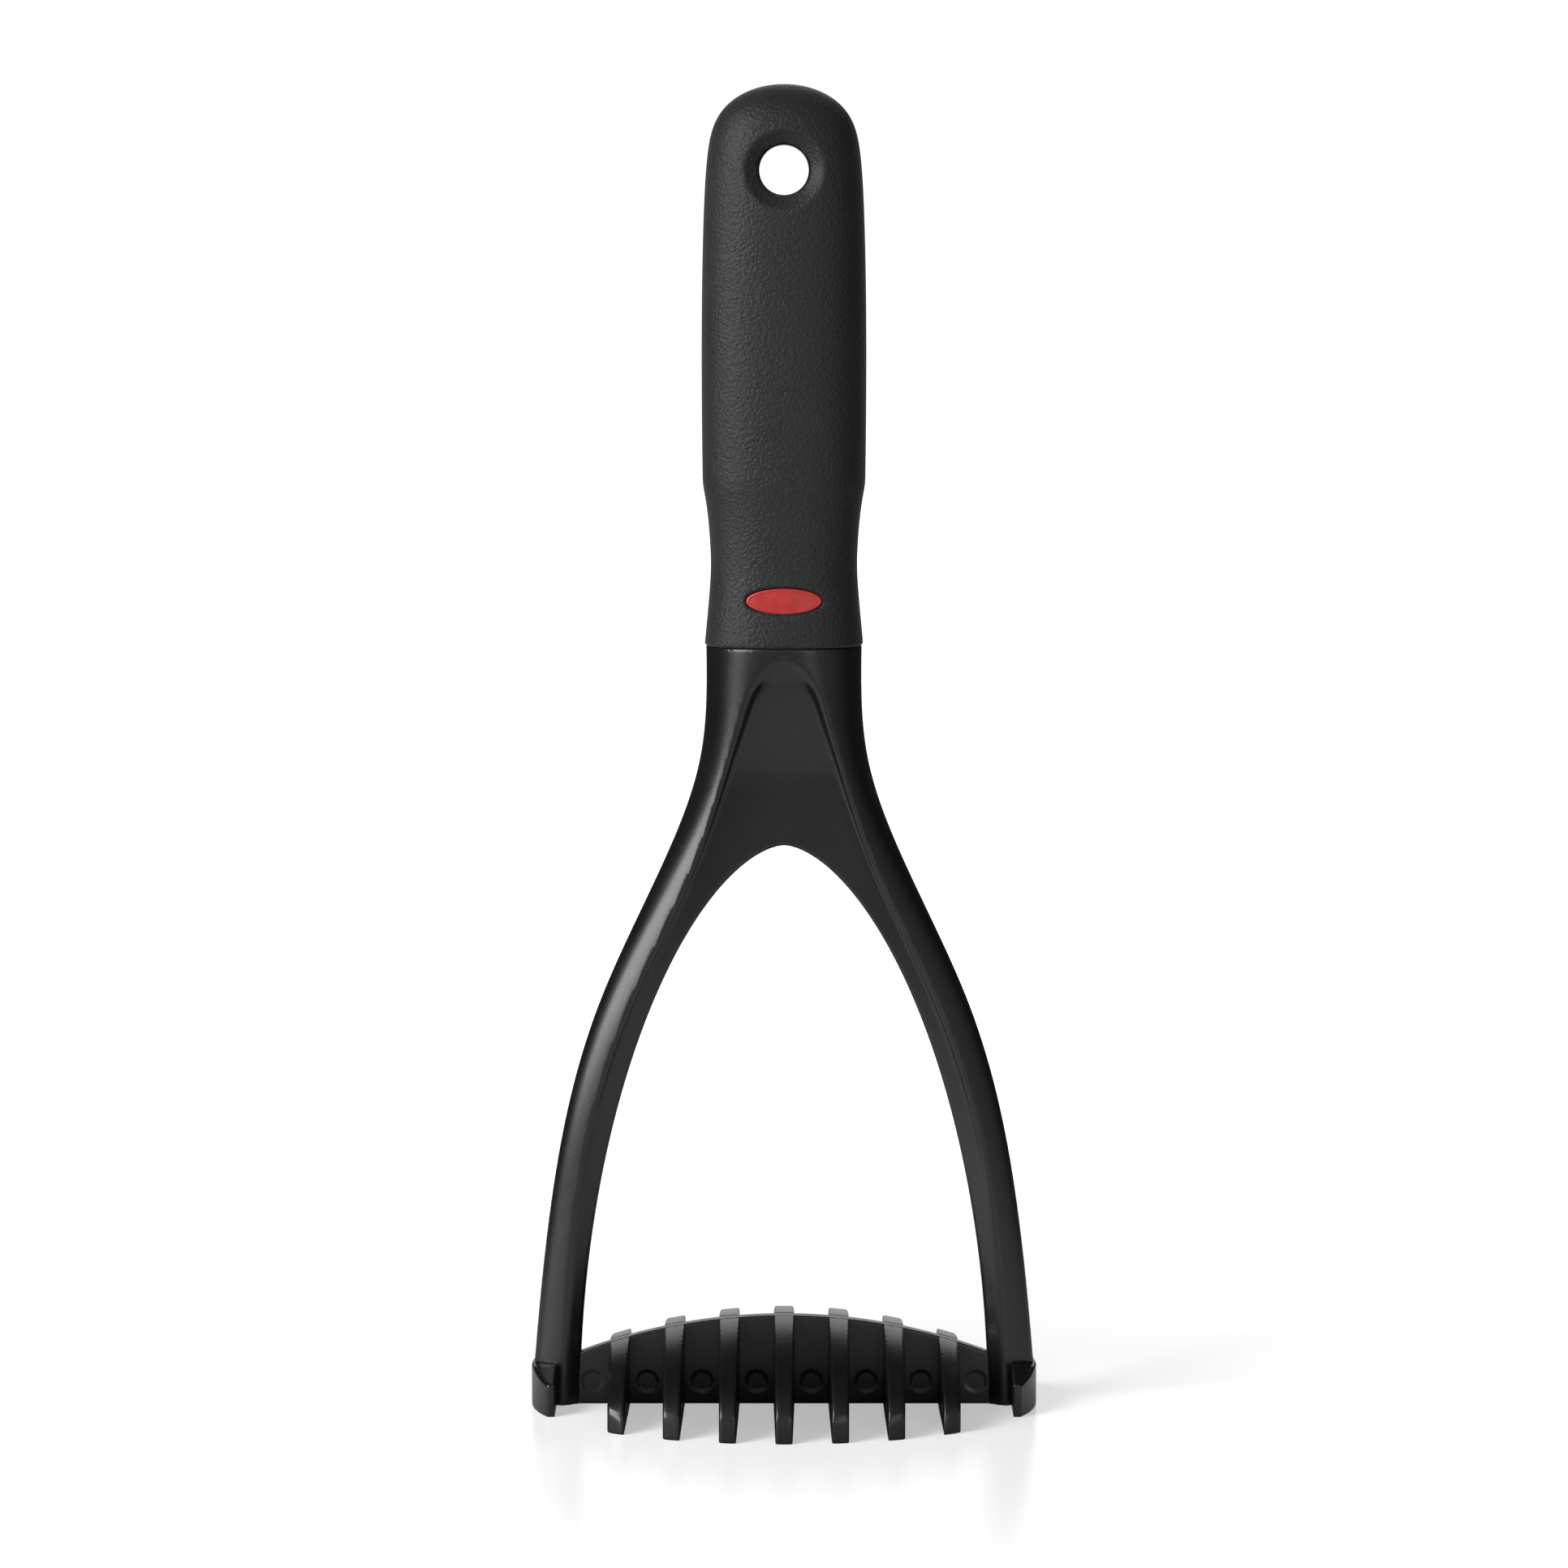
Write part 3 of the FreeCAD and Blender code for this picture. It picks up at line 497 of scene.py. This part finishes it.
def shoe_field(sign):
    """Field of the crescent foot under one leg."""
    wall_radius = RIM_HALF_DEPTH ** 2 / RIM_HALF_WIDTH
    centre = RIM_HALF_WIDTH - wall_radius
    leg_half = fork_half_depths[0]
    fall = (SHOE_TOP - SHOE_RIM) / (SHOE_HALF_DEPTH - leg_half)

    def field(x, y, z):
        side = sign * x
        wall = np.hypot(side - centre, y) - wall_radius
        top = z - SHOE_TOP + fall * np.maximum(np.abs(y) - leg_half, 0.0)
        shoe = both(wall, top / math.hypot(1.0, fall), SHOE_TOP_EDGE)
        shoe = both(shoe, np.abs(y) - SHOE_HALF_DEPTH, SHOE_END_EDGE)
        shoe = both(shoe, SHOE_INNER - OVERLAP - side, SHOE_INNER_EDGE)
        return both(shoe, -z, NARROW_FOOT_EDGE)

    return field


# ---- handle ----

barrel_drops, barrel_shares = BARREL_SHARES.T
waist_rises, waist_widenings = WAIST_WIDENINGS.T
share_at = smooth_curve(np.sqrt(barrel_drops), barrel_shares)
widening_at = smooth_curve(waist_rises, waist_widenings)


def section_field(x, y, z, squared_at, depth_ratio, power):
    """Near distance to a solid whose level sections are ovals of a given squared half width."""
    across = np.abs(x)
    along = np.abs(y) / depth_ratio
    ring = np.maximum((across ** power + along ** power) ** (1 / power), TINY)
    step = 0.05
    growth = (squared_at(z + step) - squared_at(z - step)) / (2 * step)
    slope_across = (across / ring) ** (power - 1)
    slope_along = (along / ring) ** (power - 1) / depth_ratio
    slope = np.hypot(2 * ring * np.hypot(slope_across, slope_along), growth)
    return (ring ** 2 - squared_at(z)) / np.maximum(slope, LEAST_SLOPE)


def grip_outline(x, y, z, inset, depth_ratio, power):
    """Grip's outside, a given distance in from it; barrel and waist meet at a soft kink."""
    half_width = GRIP_HALF_WIDTH - inset

    def barrel_squared(height):
        drop = GRIP_TOP - inset - height
        return np.sign(drop) * (half_width * share_at(np.sqrt(np.abs(drop)))) ** 2

    def waist_squared(height):
        return (WAIST_HALF_WIDTH - inset + widening_at(height - WAIST_HEIGHT)) ** 2

    barrel = section_field(x, y, z, barrel_squared, depth_ratio, power)
    waist = section_field(x, y, z, waist_squared, depth_ratio, power)
    return both(barrel, waist, KINK_EDGE)


def grip_outside(x, y, z):
    """The grip's outer surface, an oval slightly squared."""
    return grip_outline(x, y, z, 0.0, GRIP_DEPTH_RATIO, GRIP_OVAL_POWER)


def mouth_field(x, y, z):
    """Hang hole in the soft skin: a straight throat and a round funnel that follows the surface."""
    slope = (MOUTH_RADIUS - THROAT_RADIUS) / FUNNEL_DEPTH
    from_axis = np.hypot(x, z - HOLE_HEIGHT)
    funnel = (from_axis - MOUTH_RADIUS - slope * grip_outside(x, y, z)) / math.hypot(1.0, slope)
    return np.minimum(from_axis - THROAT_RADIUS, funnel)


def sleeve_field(x, y, z):
    """Soft skin over the core, with the hang hole's mouths and the badge's pocket."""
    outside = grip_outside(x, y, z)
    skin = without(outside, mouth_field(x, y, z), MOUTH_EDGE)
    pocket = oval(x, z - BADGE_HEIGHT, BADGE_HALF_WIDTH + BADGE_GAP, BADGE_HALF_HEIGHT + BADGE_GAP)
    skin = without(skin, np.maximum(pocket, y + BADGE_FLOOR), POCKET_EDGE)
    skin = both(skin, GRIP_LIP - z, LIP_EDGE)
    core = grip_outline(x, y, z, CORE_INSET, CORE_DEPTH_RATIO, CORE_OVAL_POWER)
    return np.maximum(skin, -core)


def badge_field(x, y, z):
    """Oval badge: a plain field inside a slightly raised rim."""
    edge = oval(x, z - BADGE_HEIGHT, BADGE_HALF_WIDTH, BADGE_HALF_HEIGHT)
    face = grip_outside(x, y, z)
    sunk = both(edge + BADGE_RIM_WIDTH, -(face + BADGE_RIM_HEIGHT), BADGE_RIM_ROOT)
    badge = both(edge, face, BADGE_EDGE)
    badge = without(badge, sunk, BADGE_RIM_EDGE)
    return np.maximum(badge, y + BADGE_FLOOR)


# ---- materials ----

def feed(tree, value, socket):
    """Link a node's output to a socket, or set the socket to a constant."""
    if isinstance(value, bpy.types.NodeSocket):
        tree.links.new(value, socket)
    else:
        socket.default_value = value


class Nodes:
    """A node tree with short calls for adding and linking nodes."""

    def __init__(self, tree):
        self.tree = tree

    def add(self, kind, inputs=None, **settings):
        """Add a node, set it up, feed its inputs and give its outputs."""
        node = self.tree.nodes.new(kind)
        for key, value in settings.items():
            setattr(node, key, value)
        for key, value in (inputs or {}).items():
            feed(self.tree, value, node.inputs[key])
        return node.outputs

    def spread(self, value, low, high, to_low, to_high, interpolation_type="LINEAR"):
        """Map a range of values to another range."""
        inputs = {"Value": value, "From Min": low, "From Max": high, "To Min": to_low, "To Max": to_high}
        return self.add("ShaderNodeMapRange", inputs, interpolation_type=interpolation_type)["Result"]

    def sum(self, first, second):
        return self.add("ShaderNodeMath", {0: first, 1: second}, operation="ADD")[0]

    def product(self, first, second):
        return self.add("ShaderNodeMath", {0: first, 1: second}, operation="MULTIPLY")[0]


class MaterialNodes(Nodes):
    """The node tree of a new material; the sizes of its grains and bumps are in millimetres."""

    # Noise seldom leaves this range.
    NOISE_LOW = 0.3
    NOISE_HIGH = 0.7

    def __init__(self, name):
        self.material = bpy.data.materials.new(name)
        self.material.use_nodes = True
        super().__init__(self.material.node_tree)
        self.place = self.add("ShaderNodeTexCoord")["Object"]

    def noise(self, size, detail=2.0):
        """Soft clouds or grains of about the given size."""
        inputs = {"Vector": self.place, "Scale": 1 / (size * MM), "Detail": detail}
        return self.add("ShaderNodeTexNoise", inputs)["Fac"]

    def cells(self, size):
        """Rounded pits of about the given size."""
        inputs = {"Vector": self.place, "Scale": 1 / (size * MM)}
        return self.add("ShaderNodeTexVoronoi", inputs)["Distance"]

    def vary(self, noise, low, high):
        """Value that follows a noise from low to high."""
        return self.spread(noise, self.NOISE_LOW, self.NOISE_HIGH, low, high)

    def tint(self, share, first, second):
        """Blend of two colours."""
        inputs = {0: share, 6: (*first, 1.0), 7: (*second, 1.0)}
        return self.add("ShaderNodeMix", inputs, data_type="RGBA")[2]

    def bump(self, height, depth):
        """Normal of a surface raised by up to the given depth."""
        inputs = {"Height": height, "Distance": depth * MM, "Strength": 1.0}
        return self.add("ShaderNodeBump", inputs)["Normal"]

    def finish(self, **sockets):
        """Feed the shader's own sockets, where underscores stand for spaces, and give the material."""
        shader = self.tree.nodes["Principled BSDF"]
        for key, value in sockets.items():
            feed(self.tree, value, shader.inputs[key.replace("_", " ")])
        return self.material


def satin_nylon():
    """Black moulded nylon: fine spark-eroded grain, faint flow mottling and slightly paler worn edges."""
    nodes = MaterialNodes("satin_nylon")
    deep = (0.0035, 0.0035, 0.0036)
    pale = (0.010, 0.010, 0.0103)
    edge_start = 0.53
    edge_full = 0.62
    grain = nodes.noise(size=0.16)
    mottle = nodes.noise(size=9.0, detail=3.0)
    pointiness = nodes.add("ShaderNodeNewGeometry")["Pointiness"]
    worn = nodes.spread(pointiness, edge_start, edge_full, 0.0, 0.5)
    speck = nodes.vary(grain, low=0.0, high=0.35)
    cloud = nodes.vary(mottle, low=0.0, high=0.2)
    shade = nodes.sum(nodes.sum(worn, speck), cloud)
    broad_gloss = nodes.vary(mottle, low=0.26, high=0.30)
    fine_gloss = nodes.vary(grain, low=-0.02, high=0.03)
    return nodes.finish(
        Base_Color=nodes.tint(shade, deep, pale),
        Roughness=nodes.sum(broad_gloss, fine_gloss),
        Specular_IOR_Level=0.5,
        Coat_Weight=0.1,
        Coat_Roughness=0.14,
        Normal=nodes.bump(grain, depth=0.006),
    )


def soft_rubber():
    """Black soft-touch elastomer: matte, with a fine leathery grain that catches the light."""
    nodes = MaterialNodes("soft_rubber")
    deep = (0.007, 0.007, 0.0071)
    pale = (0.016, 0.016, 0.0162)
    widest_pore = 0.8
    pore_share = 0.5
    grain = nodes.noise(size=0.6, detail=1.0)
    pores = nodes.cells(size=0.7)
    mottle = nodes.noise(size=12.0, detail=3.0)
    relief = nodes.sum(grain, nodes.spread(pores, 0.0, widest_pore, 0.0, pore_share))
    speck = nodes.vary(grain, low=0.0, high=0.6)
    cloud = nodes.vary(mottle, low=0.0, high=0.35)
    return nodes.finish(
        Base_Color=nodes.tint(nodes.sum(speck, cloud), deep, pale),
        Roughness=nodes.vary(mottle, low=0.52, high=0.58),
        Specular_IOR_Level=0.36,
        Sheen_Weight=0.22,
        Sheen_Roughness=0.4,
        Normal=nodes.bump(relief, depth=0.16),
    )


def gloss_nylon():
    """Harder, smoother black nylon of the eyelet, with a faint uneven gloss."""
    nodes = MaterialNodes("gloss_nylon")
    deep = (0.006, 0.006, 0.0062)
    pale = (0.014, 0.014, 0.0144)
    grain = nodes.noise(size=0.3)
    mottle = nodes.noise(size=5.0)
    return nodes.finish(
        Base_Color=nodes.tint(mottle, deep, pale),
        Roughness=nodes.vary(grain, low=0.22, high=0.34),
        Normal=nodes.bump(grain, depth=0.003),
    )


def red_enamel():
    """Red moulded badge: satin face with fine grain and slightly uneven colour."""
    nodes = MaterialNodes("red_enamel")
    deep = (0.35, 0.016, 0.015)
    bright = (0.46, 0.028, 0.024)
    grain = nodes.noise(size=0.12)
    mottle = nodes.noise(size=2.5)
    speck = nodes.vary(grain, low=0.0, high=0.4)
    cloud = nodes.vary(mottle, low=0.0, high=0.6)
    return nodes.finish(
        Base_Color=nodes.tint(nodes.sum(speck, cloud), deep, bright),
        Roughness=nodes.vary(mottle, low=0.30, high=0.42),
        Normal=nodes.bump(grain, depth=0.004),
    )


nylon = satin_nylon()
rubber = soft_rubber()
eyelet_nylon = gloss_nylon()
red = red_enamel()


# ---- pieces ----

def make_neck():
    """Neck, both legs and the tang, in one piece."""
    low, high = node_box("fork")
    install(moulded("forked_neck", fork_field, low, high, FORK_CELL), "fork", nylon)


def make_spine():
    """Arched plate across the head."""
    low, high = node_box("head_spine")
    spine = moulded("spine_plate", spine_field, low, high, SPINE_CELL)
    install(spine, "head_spine", nylon)


def make_fins():
    """Fins in front of the spine and behind it."""
    for side, sign in SIDES.items():
        for number in range(1, FIN_COUNT + 1):
            node = f"{side}_fin_{number}"
            middle = FIN_PITCH * (number - (FIN_COUNT + 1) / 2)
            low, high = node_box(node)
            fin = moulded(f"{side}_blade_{number}", fin_field(sign, middle), low, high, FIN_CELL)
            install(fin, node, nylon)


def make_shoes():
    """Crescent foot under each leg."""
    for side, sign in (("left", -1.0), ("right", 1.0)):
        node = f"end_shoe_{side}"
        low, high = node_box(node)
        shoe = moulded(f"crescent_foot_{side}", shoe_field(sign), low, high, SHOE_CELL)
        install(shoe, node, nylon)


def make_sleeve():
    """Soft grip."""
    low, high = node_box("grip_sleeve")
    sleeve = moulded("soft_sleeve", sleeve_field, low, high, SLEEVE_CELL)
    install(sleeve, "grip_sleeve", rubber)


def make_badge():
    """Plain oval let into the grip's front."""
    low, high = node_box("badge_insert")
    badge = moulded("oval_badge", badge_field, low, high, BADGE_CELL)
    install(badge, "badge_insert", red)


def finish_core():
    """The CAD core stays, in its own nylon; only its eyelet shows."""
    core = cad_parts["handle_core"]
    for index in range(len(core.material_slots)):
        core.material_slots[index].material = eyelet_nylon


make_neck()
make_spine()
make_fins()
make_shoes()
make_sleeve()
make_badge()
finish_core()


# ---- studio, in metres ----

WHITE = (1.0, 1.0, 1.0, 1.0)
WHITE_FLOOR_REACH = 4.0
# The grey card lies just under the white floor and only the masher sees it: painted shade round the masher's
# foot and a painted glow beyond.
SHADE_CARD_REACH = 0.30
SHADE_CARD_HEIGHT = -MM
LIGHT_TARGET = (0.0, 0.0, 0.13)


def sheet_material(name, greys, roughness, distances, glows):
    """Faintly clouded grey with a painted glow that grows with distance from the masher's foot."""
    nodes = MaterialNodes(name)
    cloud = nodes.noise(size=60.0)
    darker, paler = [(grey, grey, grey) for grey in greys]
    away = nodes.add("ShaderNodeVectorMath", {0: nodes.place}, operation="LENGTH")["Value"]
    return nodes.finish(
        Base_Color=nodes.tint(cloud, darker, paler),
        Roughness=roughness,
        Emission_Color=WHITE,
        Emission_Strength=nodes.spread(away, *distances, *glows),
    )


def pale_floor():
    """White, faintly glossy floor with a painted glow, weaker round the masher's foot as painted shade."""
    return sheet_material(
        # Painted glow: weaker round the masher's foot, full far out.
        "white_floor_painted_glow", greys=(0.90, 0.92), roughness=0.22, distances=(0.09, 0.40), glows=(0.43, 1.0))


def shade_and_glow_card():
    """Grey card that only the masher sees: painted shade round the masher's foot and a painted glow that
    grows away from it.
    """
    return sheet_material(
        # Painted shade near the foot, where the glow is off, and a painted glow further out.
        "painted_shade_and_glow_card", greys=(0.28, 0.32), roughness=0.6, distances=(0.035, 0.085), glows=(0.0, 0.46))


def make_sheet(name, reach, height, material):
    """Square level sheet round the masher's foot."""
    corners = [(-reach, -reach), (reach, -reach), (reach, reach), (-reach, reach)]
    mesh = bpy.data.meshes.new(name)
    mesh.from_pydata([(x, y, height) for x, y in corners], [], [(0, 1, 2, 3)])
    mesh.materials.append(material)
    sheet = bpy.data.objects.new(name, mesh)
    bpy.context.scene.collection.objects.link(sheet)
    return sheet


def make_floor():
    """White floor for the camera, and a grey card of painted shade and painted glow for the masher, so that
    it isn't flooded with light.
    """
    white = make_sheet("white_floor", WHITE_FLOOR_REACH, 0.0, pale_floor())
    white.visible_diffuse = False
    white.visible_glossy = False
    white.visible_shadow = False
    # Card of painted shade and painted glow in place of the floor, for the masher's own light and
    # reflections.
    grey = make_sheet("painted_shade_and_glow_card", SHADE_CARD_REACH, SHADE_CARD_HEIGHT, shade_and_glow_card())
    grey.visible_camera = False


def make_softbox(name, place, width, height, power):
    """Rectangular light turned to the masher."""
    lamp = bpy.data.lights.new(name, "AREA")
    lamp.shape = "RECTANGLE"
    lamp.size = width
    lamp.size_y = height
    lamp.energy = power
    light = bpy.data.objects.new(name, lamp)
    light.location = place
    direction = Vector(LIGHT_TARGET) - Vector(place)
    light.rotation_euler = direction.to_track_quat("-Z", "Y").to_euler()
    bpy.context.scene.collection.objects.link(light)


def make_lights():
    """Strong key light from the left and a faint fill from the right."""
    make_softbox("key", place=(-0.92, -0.66, 0.60), width=0.60, height=1.10, power=18.5)
    make_softbox("fill", place=(0.42, -1.08, 0.35), width=0.45, height=0.90, power=1.3)


def make_world():
    """White to the camera. To the masher: a white window behind, a glow in front and dark sides."""
    world = bpy.data.worlds.new("studio")
    world.use_nodes = True
    nodes = Nodes(world.node_tree)
    dark = 0.04
    window_glow = 0.80
    front_glow = 0.33
    backdrop = 1.05

    def rising(value, start, end, height):
        return nodes.spread(value, start, end, 0.0, height, interpolation_type="SMOOTHSTEP")

    direction = nodes.add("ShaderNodeTexCoord")["Generated"]
    part = nodes.add("ShaderNodeSeparateXYZ", {0: direction})
    aside = nodes.add("ShaderNodeMath", {0: part["X"]}, operation="ABSOLUTE")[0]
    between_sides = rising(aside, start=0.28, end=0.18, height=window_glow)
    under_top = rising(part["Z"], start=0.60, end=0.40, height=1.0)
    behind = rising(part["Y"], start=0.0, end=0.2, height=1.0)
    window = nodes.product(nodes.product(between_sides, under_top), behind)
    front = rising(part["Y"], start=0.1, end=-0.8, height=front_glow)
    room = nodes.sum(nodes.sum(window, front), dark)
    seen = nodes.add("ShaderNodeLightPath")["Is Camera Ray"]
    strength = nodes.add("ShaderNodeMix", {0: seen, 2: room, 3: backdrop}, data_type="FLOAT")[0]
    background = world.node_tree.nodes["Background"]
    feed(world.node_tree, WHITE, background.inputs["Color"])
    feed(world.node_tree, strength, background.inputs["Strength"])
    bpy.context.scene.world = world


def make_camera():
    """Camera in front of the masher, a little above its middle, looking slightly down."""
    lens = bpy.data.cameras.new("camera")
    lens.sensor_width = 36.0
    lens.lens = 118.1
    camera = bpy.data.objects.new("camera", lens)
    camera.location = (0.0, -1.055, 0.250)
    camera.rotation_euler = (math.radians(83.52), 0.0, 0.0)
    bpy.context.scene.collection.objects.link(camera)
    bpy.context.scene.camera = camera


make_floor()
make_world()
make_lights()
make_camera()
bpy.context.scene.view_settings.view_transform = "Standard"
